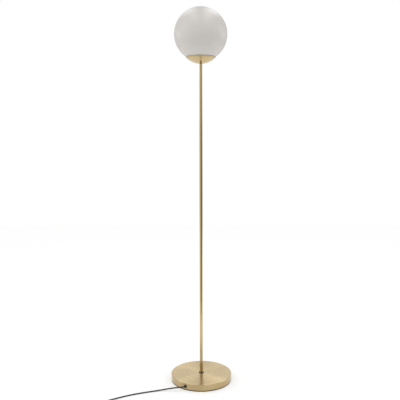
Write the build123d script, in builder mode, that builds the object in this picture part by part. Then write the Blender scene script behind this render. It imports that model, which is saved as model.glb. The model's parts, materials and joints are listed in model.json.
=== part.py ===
from build123d import *
from math import atan, cos, pi, radians, sin, sqrt, tan
import os

# Globe floor lamp: an opal glass ball in a shallow brass cup, on a slim brass pole that stands on a
# round weighted base, with a black cord that leaves the base's side and runs to a foot switch and a plug.
# Millimetres. +Z is up, -Y is the front, and the origin is the centre of the base's underside.

# ---------------------------------------------------------------- driving dimensions

overall_height = 1444.0

# Glass ball and the cup that carries it
globe_diameter = 200.0
glass_wall = 3.0
globe_opening_diameter = 88.0
glass_edge_radius = 1.2
cup_rim_diameter = 114.0
cup_drop = 7.5
cup_wall = 1.0
cup_seat_diameter = 18.0
gasket_rim_thickness = 0.5
gasket_inner_diameter = 100.0
gasket_set_back = 0.4

# Hollow threaded tube, nuts and washers that hold the cup and the base to the pole
nipple_diameter = 9.9
nipple_bore = 7.0
nipple_engagement = 18.0
nut_across_flats = 14.0
nut_height = 3.0
lock_washer_diameter = 17.0
lock_washer_thickness = 0.8
lock_washer_teeth = 12
lock_washer_tooth_depth = 1.6
lock_washer_tooth_width = 1.8
nipple_proud = 0.6

# Pole, in equal lengths that screw together
pole_diameter = 12.0
pole_section_count = 3
coupler_length = 36.0
pole_end_chamfer = 0.2

# Base
base_diameter = 238.0
base_height = 26.5
cover_wall = 1.0
cover_edge_radius = 1.2
pad_thickness = 2.0
pad_inset = 0.5
plate_thickness = 1.5
weight_thickness = 15.0
weight_side_gap = 1.5
weight_foot_radius = 6.0
weight_web = 4.0
weight_pocket_diameter = 70.0
collar_diameter = 21.0
collar_height = 2.0
base_washer_diameter = 28.0
base_washer_thickness = 1.5
plate_screw_inset = 22.5
plate_screw_count = 3
plate_screw_radius = 2.0
plate_screw_length = 12.0
clamp_distance = 70.0
clamp_width = 9.0
clamp_length = 30.0
clamp_thickness = 3.0
clamp_screw_offset = 10.5
clamp_screw_radius = 1.5
clamp_screw_length = 10.0
clamp_screw_head = 1.8
clamp_screw_head_radius = 2.7

# Cord, its way out of the base and the coil of its spare length
cord_diameter = 5.2
core_diameter = 2.0
cord_exit_angle = 239.2
cord_exit_height = 14.0
cord_floor_clearance = 0.05
cord_inner_length = 16.0
coil_turns = 7
coil_inner_radius = 21.0
coil_spacing = 0.6
coil_centre_x = -89.0

# Grommet where the cord leaves the base
grommet_neck_radius = 5.0
grommet_flange_radius = 6.2
grommet_flange = 2.0
grommet_inner_flange = 1.2
grommet_inner_flange_radius = 5.8

# Lampholder
holder_diameter = 40.0
holder_height = 54.0
holder_wall = 2.1
holder_neck_diameter = 16.0
holder_neck_height = 9.0
holder_skirt_height = 15.0
holder_rim = 2.0
holder_edge_radius = 1.5
holder_groove_count = 16
holder_groove_radius = 1.2
holder_groove_length = 24.0
cap_height = 26.0
cap_wall = 1.9
insert_flange = 3.0
insert_spigot = 6.0
insert_boss_radius = 12.0
insert_boss_height = 2.0
shell_play = 0.6
shell_wall = 0.6
shell_set_back = 3.0
grub_height = 4.5
grub_radius = 1.5
grub_proud = 0.5
terminal_x = 9.0
terminal_pocket = 5.0
terminal_head_radius = 2.2
terminal_screw_head = 2.0
screw_slot_width = 0.6
contact_rise = 1.2
contact_thickness = 0.5
contact_width = 5.0

# Bulb
bulb_length = 108.0
bulb_collar_height = 64.0
bulb_cap_diameter = 26.2
bulb_neck_diameter = 53.0
bulb_wall = 1.5
bulb_cap_height = 25.5
bulb_cap_wall = 0.4
bulb_insulator_height = 5.0
bulb_insulator_radius = 11.5
bulb_tip_radius = 4.5
bulb_tip_height = 1.2
bulb_waist_height = 38.0
bulb_spigot = 7.0
bulb_collar_wall = 2.0
board_thickness = 1.6
led_count = 8
led_circle_radius = 16.0
led_width = 3.0
led_height = 0.7

# Foot switch
switch_centre_x = -234.0
switch_line_y = -260.6
switch_cord_end = 34.0
switch_length = 76.0
switch_width = 30.0
switch_height = 19.0
switch_split_height = 9.0
switch_wall = 1.8
button_diameter = 20.0
button_rim = 1.25
button_flange_height = 1.5
button_edge_radius = 1.6
button_pocket = 2.0
button_proud = 3.5
button_travel = 3.0
sleeve_length = 28.0
sleeve_neck_radius = 4.0
sleeve_flange_radius = 5.0
sleeve_end_wall = 0.8
switch_post_x = 27.0
switch_post_y = 8.5
switch_post_radius = 3.2
switch_screw_radius = 1.3
switch_screw_length = 11.0
switch_screw_head = 1.8
switch_screw_head_radius = 2.5
screw_recess = 0.2
switch_roof_ledge = 2.0
spring_turns = 5
spring_wire = 0.8
spring_diameter = 8.0

# Plug, two round pins
plug_start_x = -38.0
plug_line_y = -264.0
plug_width = 35.3
plug_thickness = 13.7
plug_rear_width = 15.0
plug_length = 38.0
plug_sleeve_length = 24.0
plug_corner_radius = 4.0
plug_cord_depth = 20.0
plug_cord_bore = 12.0
plug_sleeve_radius = 5.4
plug_edge_chamfer = 1.6
pin_diameter = 4.0
pin_length = 19.0
pin_spacing = 18.6
pin_sleeve_diameter = 3.6
pin_sleeve_length = 10.0
pin_core_diameter = 2.6
pin_root = 8.0
pin_tip_radius = 1.2

# Clearances
thread_clearance = 0.05
running_clearance = 0.2
seat_clearance = 0.3
piece_gap = 0.05
cord_bore_clearance = 0.1
cable_clearance = 0.3

# ---------------------------------------------------------------- derived places

globe_radius = globe_diameter / 2
globe_centre_z = overall_height - globe_radius
opening_radius = globe_opening_diameter / 2
cord_radius = cord_diameter / 2
cord_floor_height = cord_radius + cord_floor_clearance
bore_radius = cord_radius + cord_bore_clearance
thread_radius = nipple_diameter / 2 + thread_clearance
nipple_chamfer = min(0.4, 0.3 * (nipple_diameter - nipple_bore) / 2)
loose_radius = thread_radius + running_clearance

rim_radius = cup_rim_diameter / 2
rim_inner_radius = rim_radius - cup_wall
seat_radius = globe_radius + seat_clearance
gasket_radius = seat_radius + gasket_rim_thickness
cup_rim_z = globe_centre_z - sqrt(gasket_radius**2 - rim_inner_radius**2)
cup_bottom_z = globe_centre_z - gasket_radius - cup_drop
cup_depth = cup_rim_z - cup_bottom_z
cup_seat_radius = cup_seat_diameter / 2
cup_arc_rise = (rim_radius**2 - cup_seat_radius**2 + cup_depth**2) / (2 * cup_depth)
cup_arc_radius = sqrt(cup_seat_radius**2 + cup_arc_rise**2)
cup_arc_centre_z = cup_bottom_z + cup_arc_rise

cup_washer_z = cup_bottom_z + cup_wall
cup_nut_z = cup_washer_z + lock_washer_thickness
clip_z = cup_nut_z + nut_height
clip_thickness = 0.8
holder_z = clip_z + clip_thickness

cover_z = pad_thickness
cover_inner_top = base_height - cover_wall
cover_inner_radius = base_diameter / 2 - cover_wall
plate_top = pad_thickness + plate_thickness
weight_top = cover_inner_top - piece_gap
weight_bottom = weight_top - weight_thickness
weight_radius = cover_inner_radius - weight_side_gap
plate_screw_circle_radius = base_diameter / 2 - plate_screw_inset
web_bottom = weight_top - weight_web
base_lock_washer_z = web_bottom - base_washer_thickness - lock_washer_thickness
base_nut_z = base_lock_washer_z - nut_height
base_nipple_z = base_nut_z - nipple_proud
collar_top = base_height + collar_height
pole_length = cup_bottom_z - collar_top
section_length = pole_length / pole_section_count

exit_way = Vector(cos(radians(cord_exit_angle)), sin(radians(cord_exit_angle)), 0)
exit_side = Vector(-exit_way.Y, exit_way.X, 0)

coil_pitch = cord_diameter + coil_spacing
coil_outer_radius = coil_inner_radius + coil_pitch * coil_turns / 2
coil_tilt = atan(coil_pitch / (2 * pi) / coil_outer_radius)
coil_centre = Vector(coil_centre_x, switch_line_y - coil_outer_radius * cos(coil_tilt), 0)
coil_top_height = cord_floor_height + coil_pitch

# ---------------------------------------------------------------- the cord's route

# From inside the base, through the grommet, down to the floor and round to the foot switch.
cord_inner_end = exit_way * (base_diameter / 2 - cord_inner_length) + Vector(0, 0, cord_exit_height)
lamp_side_route = [
    cord_inner_end,
    exit_way * base_diameter / 2 + Vector(0, 0, cord_exit_height),
    Vector(-74.2, -108.6, 13.9),
    Vector(-93.0, -109.9, 12.7),
    Vector(-118.0, -108.4, 9.2),
    Vector(-142.0, -109.3, 5.2),
    Vector(-167.0, -113.7, 2.9),
    Vector(-195.0, -122.6, cord_floor_height),
    Vector(-226.0, -133.4, cord_floor_height),
    Vector(-257.0, -146.2, cord_floor_height),
    Vector(-287.0, -161.2, cord_floor_height),
    Vector(-319.0, -180.7, cord_floor_height),
    Vector(-350.5, -200.7, cord_floor_height),
    Vector(-360.4, -222.5, 3.6),
    Vector(-354.8, -245.7, 5.6),
    Vector(-336.0, switch_line_y, 7.9),
    Vector(-312.0, switch_line_y, switch_split_height),
    Vector(switch_centre_x - switch_cord_end, switch_line_y, switch_split_height),
]

# From the foot switch down to the coil, and from the coil's top layer to the plug.
coil_entry_x = coil_centre.X - coil_outer_radius * sin(coil_tilt) - cord_diameter
coil_leave_x = coil_centre.X + coil_outer_radius * sin(coil_tilt) + cord_diameter
plug_side_route = [
    Vector(switch_centre_x + switch_cord_end, switch_line_y, switch_split_height),
    Vector(-157.0, switch_line_y, switch_split_height),
    Vector(-140.0, switch_line_y, 7.6),
    Vector(-124.0, switch_line_y, 4.2),
    Vector(-108.0, switch_line_y, cord_floor_height),
    Vector(coil_entry_x, switch_line_y, cord_floor_height),
]
plug_end_route = [
    Vector(coil_leave_x, switch_line_y, coil_top_height),
    Vector(-66.0, switch_line_y, coil_top_height),
    Vector(-50.0, plug_line_y, plug_thickness / 2),
    Vector(plug_start_x + plug_cord_depth, plug_line_y, plug_thickness / 2),
]

# Inside the lamp: distance from the pole's axis and height, from the lampholder down and out to the side.
cable_top_z = holder_z + holder_neck_height + 2.0
cable_low_z = plate_top + cord_radius + cable_clearance
cable_bend_radius = base_nipple_z - cable_low_z - cable_clearance
cable_rise_radius = 60.0
inner_route = [
    Vector(0, 0, cable_top_z),
    Vector(0, 0, cable_low_z),
    exit_way * 22.0 + Vector(0, 0, cable_low_z),
    exit_way * 50.0 + Vector(0, 0, cord_exit_height),
    cord_inner_end,
]


# ---------------------------------------------------------------- shared shapes


def corner_radii(route):
    """The arc's radius at each inner point of a route: as large as the shorter of its two runs allows."""
    radii = []
    for before, here, after in zip(route, route[1:], route[2:]):
        turn = radians((here - before).get_angle(after - here))
        shorter = min((here - before).length, (after - here).length)
        radii.append(0.45 * shorter / tan(turn / 2))
    return radii


def tube_along(name, route, radii, tube_radius):
    """A round tube along straight runs joined by arcs."""
    with BuildPart() as tube:
        with BuildLine() as line:
            FilletPolyline(*route, radius=radii)
        with BuildSketch(Plane(origin=route[0], z_dir=route[1] - route[0])):
            Circle(tube_radius)
        sweep()
    expected = pi * tube_radius**2 * line.wire().length
    print(
        f"{name}: {line.wire().length:.1f} long, arcs {[round(r, 1) for r in radii]},"
        f" volume over section times length {tube.part.volume / expected:.4f}"
    )
    return tube


def biarc(start, start_way, end, end_way):
    """Two arcs in a row: they leave start along start_way and reach end along end_way."""
    chord = end - start
    bend = 1 - start_way.dot(end_way)
    along = chord.dot(start_way + end_way)
    reach = (sqrt(along**2 + 2 * bend * chord.dot(chord)) - along) / (2 * bend)
    middle = (start + end + (start_way - end_way) * reach) / 2
    middle_way = (end - end_way * reach) - (start + start_way * reach)
    TangentArc(start, middle, tangent=start_way)
    TangentArc(middle, end, tangent=middle_way)


def way_at(place, turn):
    """The direction in which a curve given by a function runs at one value."""
    step = 0.0001
    return (place(turn + step) - place(turn - step)).normalized()


def wound_tube(place, first, last, steps, tube_radius, lead):
    """One unbroken tube that follows place(turn) on biarcs, with straight ends of length lead."""
    turns = [first + (last - first) * i / steps for i in range(steps + 1)]
    start, start_way = place(first), way_at(place, first)
    end, end_way = place(last), way_at(place, last)
    with BuildPart() as tube:
        with BuildLine() as line:
            if lead:
                Line(start - start_way * lead, start)
            for a, b in zip(turns, turns[1:]):
                biarc(place(a), way_at(place, a), place(b), way_at(place, b))
            if lead:
                Line(end, end + end_way * lead)
        with BuildSketch(Plane(origin=start - start_way * lead, z_dir=start_way)):
            Circle(tube_radius)
        sweep()
    return tube, line.wire().length


def least_gap(place, first, last, tube_radius):
    """The least distance between the tube's own turns, surface to surface, measured on points."""
    per_turn = 60
    count = round((last - first) / (2 * pi) * per_turn)
    points = [place(first + (last - first) * i / count) for i in range(count + 1)]
    nearest = min(
        (points[i] - points[j]).length
        for i in range(len(points))
        for j in range(i + per_turn // 2, len(points))
    )
    return nearest - 2 * tube_radius


def screw(head_radius, head_height, shank_radius, shank_length):
    """A slotted cylinder-head screw: its head starts at the plane and the shank runs along +Z."""
    with BuildPart() as piece:
        with BuildSketch():
            Circle(head_radius)
        extrude(amount=head_height)
        with BuildSketch(Plane.XY.offset(head_height)):
            Circle(shank_radius)
        extrude(amount=shank_length)
        with BuildSketch():
            Rectangle(2 * head_radius, screw_slot_width)
        extrude(amount=head_height * 0.5, mode=Mode.SUBTRACT)
    return piece.part


def hex_nut():
    """The hexagon nut of the threaded tube, standing on the plane."""
    with BuildPart() as piece:
        with BuildSketch():
            RegularPolygon(nut_across_flats / 2, 6, major_radius=False)
            Circle(thread_radius, mode=Mode.SUBTRACT)
        extrude(amount=nut_height)
    return piece.part


def lock_washer():
    """A washer with teeth round its rim, standing on the plane."""
    ring_radius = lock_washer_diameter / 2 - lock_washer_tooth_depth
    with BuildPart() as piece:
        with BuildSketch():
            Circle(ring_radius)
            with PolarLocations(ring_radius, lock_washer_teeth):
                Rectangle(2 * lock_washer_tooth_depth, lock_washer_tooth_width)
            Circle(loose_radius, mode=Mode.SUBTRACT)
        extrude(amount=lock_washer_thickness)
    return piece.part


# ---------------------------------------------------------------- glass ball and its seat

inner_globe_radius = globe_radius - glass_wall
outer_edge_z = globe_centre_z - sqrt(globe_radius**2 - opening_radius**2)
inner_edge_z = globe_centre_z - sqrt(inner_globe_radius**2 - opening_radius**2)

with BuildPart() as glass_globe:
    with BuildSketch(Plane.XZ):
        with BuildLine():
            ThreePointArc(
                (opening_radius, outer_edge_z),
                (globe_radius, globe_centre_z),
                (0, globe_centre_z + globe_radius),
            )
            Line((0, globe_centre_z + globe_radius), (0, globe_centre_z + inner_globe_radius))
            ThreePointArc(
                (0, globe_centre_z + inner_globe_radius),
                (inner_globe_radius, globe_centre_z),
                (opening_radius, inner_edge_z),
            )
            Line((opening_radius, inner_edge_z), (opening_radius, outer_edge_z))
        make_face()
    revolve(axis=Axis.Z)
    mouth_edges = glass_globe.edges().filter_by(GeomType.CIRCLE).group_by(Axis.Z)
    fillet(mouth_edges[0] + mouth_edges[1], glass_edge_radius)
glass_globe.part.label = "glass_globe"


def cup_arc_z(radius, wall=0.0):
    """Height of the cup's outer arc, or of the arc one wall inside it, at a distance from the axis."""
    return cup_arc_centre_z - sqrt((cup_arc_radius - wall) ** 2 - radius**2)


cup_hole_radius = loose_radius
cup_floor_z = cup_bottom_z + cup_wall
floor_edge_radius = sqrt((cup_arc_radius - cup_wall) ** 2 - (cup_arc_centre_z - cup_floor_z) ** 2)
rim_edge_radius = sqrt((cup_arc_radius - cup_wall) ** 2 - (cup_arc_centre_z - cup_rim_z) ** 2)
half_out = 0.6 * rim_radius

with BuildPart() as globe_cup:
    with BuildSketch(Plane.XZ):
        with BuildLine():
            Line((cup_hole_radius, cup_bottom_z), (cup_seat_radius, cup_bottom_z))
            ThreePointArc(
                (cup_seat_radius, cup_bottom_z),
                (half_out, cup_arc_z(half_out)),
                (rim_radius, cup_rim_z),
            )
            Line((rim_radius, cup_rim_z), (rim_edge_radius, cup_rim_z))
            ThreePointArc(
                (rim_edge_radius, cup_rim_z),
                (half_out, cup_arc_z(half_out, cup_wall)),
                (floor_edge_radius, cup_floor_z),
            )
            Line((floor_edge_radius, cup_floor_z), (cup_hole_radius, cup_floor_z))
            Line((cup_hole_radius, cup_floor_z), (cup_hole_radius, cup_bottom_z))
        make_face()
    revolve(axis=Axis.Z)
    fillet(globe_cup.edges().filter_by(GeomType.CIRCLE).group_by(Axis.Z)[-1], 0.3 * cup_wall)
globe_cup.part.label = "globe_cup"


def seat_z(radius):
    """Height of the gasket's upper face, a sphere just outside the glass, at a distance from the axis."""
    return globe_centre_z - sqrt(seat_radius**2 - radius**2)


gasket_inner_radius = gasket_inner_diameter / 2
gasket_top_z = cup_rim_z - gasket_set_back
gasket_top_inner = sqrt(seat_radius**2 - (globe_centre_z - gasket_top_z) ** 2)
gasket_wall = cup_wall + piece_gap
gasket_top_outer = sqrt((cup_arc_radius - gasket_wall) ** 2 - (cup_arc_centre_z - gasket_top_z) ** 2)
gasket_middle = (gasket_inner_radius + gasket_top_inner) / 2

with BuildPart() as globe_gasket:
    with BuildSketch(Plane.XZ):
        with BuildLine():
            ThreePointArc(
                (gasket_inner_radius, seat_z(gasket_inner_radius)),
                (gasket_middle, seat_z(gasket_middle)),
                (gasket_top_inner, gasket_top_z),
            )
            Line((gasket_top_inner, gasket_top_z), (gasket_top_outer, gasket_top_z))
            ThreePointArc(
                (gasket_top_outer, gasket_top_z),
                (gasket_middle, cup_arc_z(gasket_middle, gasket_wall)),
                (gasket_inner_radius, cup_arc_z(gasket_inner_radius, gasket_wall)),
            )
            Line(
                (gasket_inner_radius, cup_arc_z(gasket_inner_radius, gasket_wall)),
                (gasket_inner_radius, seat_z(gasket_inner_radius)),
            )
        make_face()
    revolve(axis=Axis.Z)
globe_gasket.part.label = "globe_gasket"

# A sprung plate with three arms that hold the glass's mouth from inside.
clip_arm_width = 10.0
clip_hub_radius = 15.0
clip_bulge_radius = opening_radius - seat_clearance - clip_thickness / 2
clip_bulge_rise = 19.0
clip_tip_rise = 27.0
clip_tip_inset = 5.0
clip_bends = [6.0, 4.0]
clip_arm_path = [
    Vector(clip_hub_radius - 1.0, 0, clip_z + clip_thickness / 2),
    Vector(0.5 * opening_radius, 0, clip_z + clip_thickness / 2),
    Vector(clip_bulge_radius, 0, clip_z + clip_bulge_rise),
    Vector(clip_bulge_radius - clip_tip_inset, 0, clip_z + clip_tip_rise),
]

with BuildPart() as clip_arm:
    with BuildLine():
        FilletPolyline(*clip_arm_path, radius=clip_bends)
    with BuildSketch(Plane(origin=clip_arm_path[0], x_dir=(0, 1, 0), z_dir=(1, 0, 0))):
        Rectangle(clip_arm_width, clip_thickness)
    sweep()

with BuildPart() as globe_spring_clip:
    with BuildSketch(Plane.XY.offset(clip_z)):
        Circle(clip_hub_radius)
        Circle(loose_radius, mode=Mode.SUBTRACT)
    extrude(amount=clip_thickness)
    with PolarLocations(0, 3, start_angle=90):
        add(clip_arm.part)
globe_spring_clip.part.label = "globe_spring_clip"

with BuildPart(Plane.XY.offset(cup_bottom_z - nipple_engagement)) as cup_nipple:
    nipple_length = nipple_engagement + holder_z + holder_neck_height - cup_bottom_z
    Cylinder(nipple_diameter / 2, nipple_length, align=(Align.CENTER, Align.CENTER, Align.MIN))
    Hole(nipple_bore / 2)
    chamfer(cup_nipple.edges().filter_by(GeomType.CIRCLE), nipple_chamfer)
cup_nipple.part.label = "cup_nipple"

with BuildPart() as nipple_nuts:
    with Locations((0, 0, cup_nut_z), (0, 0, base_nut_z)):
        add(hex_nut())
nipple_nuts.part.label = "nipple_nuts"

with BuildPart() as nipple_lock_washers:
    with Locations((0, 0, cup_washer_z), (0, 0, base_lock_washer_z)):
        add(lock_washer())
nipple_lock_washers.part.label = "nipple_lock_washers"

# ---------------------------------------------------------------- lampholder

holder_radius = holder_diameter / 2
neck_radius = holder_neck_diameter / 2
cap_radius = holder_radius - holder_wall
cap_shoulder_z = holder_z + holder_neck_height
skirt_bottom_z = holder_z + holder_skirt_height
insert_z = holder_z + cap_height
shell_bore_radius = bulb_cap_diameter / 2 + shell_play
shell_radius = shell_bore_radius + shell_wall
shell_z = insert_z + insert_flange
holder_top_z = holder_z + holder_height
grub_z = holder_z + grub_height

with BuildPart() as lampholder_cap:
    with BuildSketch(Plane.XZ):
        with BuildLine():
            Polyline(
                (thread_radius, holder_z),
                (neck_radius, holder_z),
                (neck_radius, cap_shoulder_z),
                (cap_radius - 1.0, cap_shoulder_z + 2.0),
                (cap_radius, cap_shoulder_z + 4.0),
                (cap_radius, insert_z),
                (cap_radius - cap_wall, insert_z),
                (cap_radius - cap_wall, cap_shoulder_z + 4.5),
                (neck_radius, cap_shoulder_z + 2.0),
                (thread_radius, cap_shoulder_z),
                close=True,
            )
        make_face()
    revolve(axis=Axis.Z)
    with Locations(Plane.YZ.offset(neck_radius) * Location((0, grub_z, 0))):
        Hole(grub_radius + thread_clearance, depth=neck_radius - thread_radius / 2)
lampholder_cap.part.label = "lampholder_cap"

with BuildPart() as lampholder_grub_screw:
    with BuildSketch(Plane.YZ.offset(thread_radius)):
        with Locations((0, grub_z)):
            Circle(grub_radius)
    extrude(amount=neck_radius - thread_radius + grub_proud)
    with BuildSketch(Plane.YZ.offset(neck_radius + grub_proud)):
        with Locations((0, grub_z)):
            Rectangle(2 * grub_radius, screw_slot_width)
    extrude(amount=-2 * grub_proud, mode=Mode.SUBTRACT)
lampholder_grub_screw.part.label = "lampholder_grub_screw"

with BuildPart() as lampholder_insert:
    with BuildSketch(Plane.XY.offset(insert_z - insert_spigot)):
        Circle(cap_radius - cap_wall - running_clearance)
    extrude(amount=insert_spigot)
    with BuildSketch(Plane.XY.offset(insert_z)):
        Circle(cap_radius)
    extrude(amount=insert_flange)
    with BuildSketch(Plane.XY.offset(shell_z)):
        Circle(insert_boss_radius)
    extrude(amount=insert_boss_height)
    with BuildSketch(Plane.XY.offset(insert_z - insert_spigot)):
        with Locations((terminal_x, 0), (-terminal_x, 0)):
            Rectangle(terminal_pocket, terminal_pocket)
    extrude(amount=insert_spigot, mode=Mode.SUBTRACT)
lampholder_insert.part.label = "lampholder_insert"

terminal_screw_z = insert_z - terminal_screw_head
with BuildPart() as lampholder_terminal_screws:
    with Locations((terminal_x, 0, terminal_screw_z), (-terminal_x, 0, terminal_screw_z)):
        Cylinder(terminal_head_radius, terminal_screw_head, align=(Align.CENTER, Align.CENTER, Align.MIN))
        Box(3.8, screw_slot_width, 1.6, mode=Mode.SUBTRACT)
lampholder_terminal_screws.part.label = "lampholder_terminal_screws"

with BuildPart() as lampholder_screw_shell:
    with BuildSketch(Plane.XY.offset(shell_z)):
        Circle(shell_radius)
        Circle(shell_bore_radius, mode=Mode.SUBTRACT)
    extrude(amount=holder_top_z - shell_set_back - shell_z)
    with BuildSketch(Plane.XY.offset(shell_z)):
        Circle(shell_radius)
        Circle(insert_boss_radius + thread_clearance, mode=Mode.SUBTRACT)
    extrude(amount=shell_wall)
lampholder_screw_shell.part.label = "lampholder_screw_shell"

contact_z = shell_z + insert_boss_height
contact_foot_x = -6.0
contact_bend_x = -3.2
contact_step_x = -2.0
contact_tip_x = 4.0
contact_lean = 0.3
with BuildPart() as lampholder_centre_contact:
    with BuildSketch(Plane.XZ.offset(-contact_width / 2)):
        with BuildLine():
            Polyline(
                (contact_foot_x, contact_z),
                (contact_bend_x, contact_z),
                (contact_step_x, contact_z + contact_rise - contact_thickness),
                (contact_tip_x, contact_z + contact_rise - contact_thickness),
                (contact_tip_x, contact_z + contact_rise),
                (contact_step_x - contact_lean, contact_z + contact_rise),
                (contact_bend_x - contact_lean, contact_z + contact_thickness),
                (contact_foot_x, contact_z + contact_thickness),
                close=True,
            )
        make_face()
    extrude(amount=contact_width)
lampholder_centre_contact.part.label = "lampholder_centre_contact"

with BuildPart() as lampholder_body:
    with BuildSketch(Plane.XY.offset(skirt_bottom_z)):
        Circle(holder_radius)
        Circle(cap_radius + seat_clearance, mode=Mode.SUBTRACT)
    extrude(amount=shell_z + piece_gap - skirt_bottom_z)
    with BuildSketch(Plane.XY.offset(shell_z + piece_gap)):
        Circle(holder_radius)
        Circle(shell_radius + running_clearance, mode=Mode.SUBTRACT)
    extrude(amount=holder_top_z - holder_rim - shell_z - piece_gap)
    with BuildSketch(Plane.XY.offset(holder_top_z - holder_rim)):
        Circle(holder_radius)
        Circle(shell_radius, mode=Mode.SUBTRACT)
    extrude(amount=holder_rim)
    top_edges = lampholder_body.edges().filter_by(GeomType.CIRCLE).group_by(Axis.Z)[-1]
    fillet(top_edges.sort_by(SortBy.LENGTH)[-1], holder_edge_radius)
    with BuildSketch(Plane.XY.offset(skirt_bottom_z)):
        with PolarLocations(holder_radius + 0.4 * holder_groove_radius, holder_groove_count):
            Circle(holder_groove_radius)
    extrude(amount=holder_groove_length, mode=Mode.SUBTRACT)
lampholder_body.part.label = "lampholder_body"

# ---------------------------------------------------------------- bulb

bulb_z = contact_z + contact_rise + running_clearance
bulb_cap_radius = bulb_cap_diameter / 2
bulb_cap_bottom = bulb_z + bulb_insulator_height
bulb_cap_top = bulb_z + bulb_cap_height
bulb_waist_z = bulb_z + bulb_waist_height
bulb_collar_top = bulb_z + bulb_collar_height
bulb_neck_radius = bulb_neck_diameter / 2
dome_rise = bulb_length - bulb_collar_height

with BuildPart() as bulb_tip_contact:
    with BuildSketch(Plane.XY.offset(bulb_z)):
        Circle(bulb_tip_radius)
    extrude(amount=bulb_tip_height)
    fillet(bulb_tip_contact.edges().group_by(Axis.Z)[0], 0.5 * bulb_tip_height)
bulb_tip_contact.part.label = "bulb_tip_contact"

with BuildPart() as bulb_insulator:
    with BuildSketch(Plane.XZ):
        with BuildLine():
            Polyline(
                (0, bulb_z + bulb_tip_height),
                (bulb_tip_radius + 1.5, bulb_z + bulb_tip_height),
                (bulb_insulator_radius, bulb_cap_bottom),
                (0, bulb_cap_bottom),
                close=True,
            )
        make_face()
    revolve(axis=Axis.Z)
bulb_insulator.part.label = "bulb_insulator"

with BuildPart() as bulb_screw_cap:
    with BuildSketch(Plane.XY.offset(bulb_cap_bottom)):
        Circle(bulb_cap_radius)
    extrude(amount=bulb_cap_top - bulb_cap_bottom)
    chamfer(bulb_screw_cap.edges().group_by(Axis.Z)[0], 3 * bulb_cap_wall)
    with BuildSketch(Plane.XY.offset(bulb_cap_bottom + bulb_cap_wall)):
        Circle(bulb_cap_radius - 4.5 * bulb_cap_wall)
    extrude(amount=5 * bulb_cap_wall, mode=Mode.SUBTRACT)
    with BuildSketch(Plane.XY.offset(bulb_cap_bottom + 5 * bulb_cap_wall)):
        Circle(bulb_cap_radius - bulb_cap_wall)
    extrude(amount=bulb_cap_height, mode=Mode.SUBTRACT)
bulb_screw_cap.part.label = "bulb_screw_cap"

with BuildPart() as bulb_collar:
    spigot_radius = bulb_cap_radius - bulb_cap_wall - thread_clearance
    spigot_bottom_z = bulb_cap_top - bulb_spigot
    waist_radius = bulb_cap_radius + 3.0
    ledge_z = bulb_collar_top - board_thickness - 2 * piece_gap
    with BuildSketch(Plane.XZ):
        with BuildLine():
            Polyline(
                (spigot_radius, spigot_bottom_z),
                (spigot_radius, bulb_cap_top + piece_gap),
                (bulb_cap_radius + 0.8, bulb_cap_top + piece_gap),
                (waist_radius, bulb_waist_z),
                (bulb_neck_radius, bulb_collar_top - bulb_collar_wall),
                (bulb_neck_radius, bulb_collar_top),
                (bulb_neck_radius - bulb_collar_wall, bulb_collar_top),
                (bulb_neck_radius - bulb_collar_wall, ledge_z),
                (bulb_neck_radius - 2 * bulb_collar_wall, ledge_z),
                (waist_radius - bulb_collar_wall, bulb_waist_z + bulb_collar_wall / 2),
                (spigot_radius - bulb_collar_wall, bulb_cap_top),
                (spigot_radius - bulb_collar_wall, spigot_bottom_z),
                close=True,
            )
        make_face()
    revolve(axis=Axis.Z)
bulb_collar.part.label = "bulb_collar"

with BuildPart() as bulb_led_board:
    with BuildSketch(Plane.XY.offset(bulb_collar_top - piece_gap - board_thickness)):
        Circle(bulb_neck_radius - bulb_collar_wall - running_clearance)
    extrude(amount=board_thickness)
    with BuildSketch(Plane.XY.offset(bulb_collar_top - piece_gap)):
        with PolarLocations(led_circle_radius, led_count):
            Rectangle(led_width, led_width)
    extrude(amount=led_height)
bulb_led_board.part.label = "bulb_led_board"

# The dome is a ball that meets the collar at its neck and ends at the bulb's full length.
dome_radius = (bulb_neck_radius**2 + dome_rise**2) / (2 * dome_rise)
dome_centre_z = bulb_z + bulb_length - dome_radius
dome_edge_z = bulb_collar_top + piece_gap
dome_edge_outer = sqrt(dome_radius**2 - (dome_centre_z - dome_edge_z) ** 2)
dome_edge_inner = sqrt((dome_radius - bulb_wall) ** 2 - (dome_centre_z - dome_edge_z) ** 2)
with BuildPart() as bulb_dome:
    with BuildSketch(Plane.XZ):
        with BuildLine():
            ThreePointArc(
                (dome_edge_outer, dome_edge_z),
                (dome_radius, dome_centre_z),
                (0, dome_centre_z + dome_radius),
            )
            Line(
                (0, dome_centre_z + dome_radius),
                (0, dome_centre_z + dome_radius - bulb_wall),
            )
            ThreePointArc(
                (0, dome_centre_z + dome_radius - bulb_wall),
                (dome_radius - bulb_wall, dome_centre_z),
                (dome_edge_inner, dome_edge_z),
            )
            Line((dome_edge_inner, dome_edge_z), (dome_edge_outer, dome_edge_z))
        make_face()
    revolve(axis=Axis.Z)
bulb_dome.part.label = "bulb_dome"

# ---------------------------------------------------------------- pole


def pole_tube(bottom):
    """One length of the pole: a tube with eased ends."""
    with BuildPart(Plane.XY.offset(bottom)) as tube:
        Cylinder(pole_diameter / 2, section_length, align=(Align.CENTER, Align.CENTER, Align.MIN))
        Hole(thread_radius)
        outer_ends = tube.edges().filter_by(GeomType.CIRCLE).sort_by(SortBy.RADIUS)[-2:]
        chamfer(outer_ends, pole_end_chamfer)
    return tube


pole_bottom_section = pole_tube(collar_top)
pole_bottom_section.part.label = "pole_bottom_section"
pole_middle_section = pole_tube(collar_top + section_length)
pole_middle_section.part.label = "pole_middle_section"
pole_top_section = pole_tube(collar_top + 2 * section_length)
pole_top_section.part.label = "pole_top_section"

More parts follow.
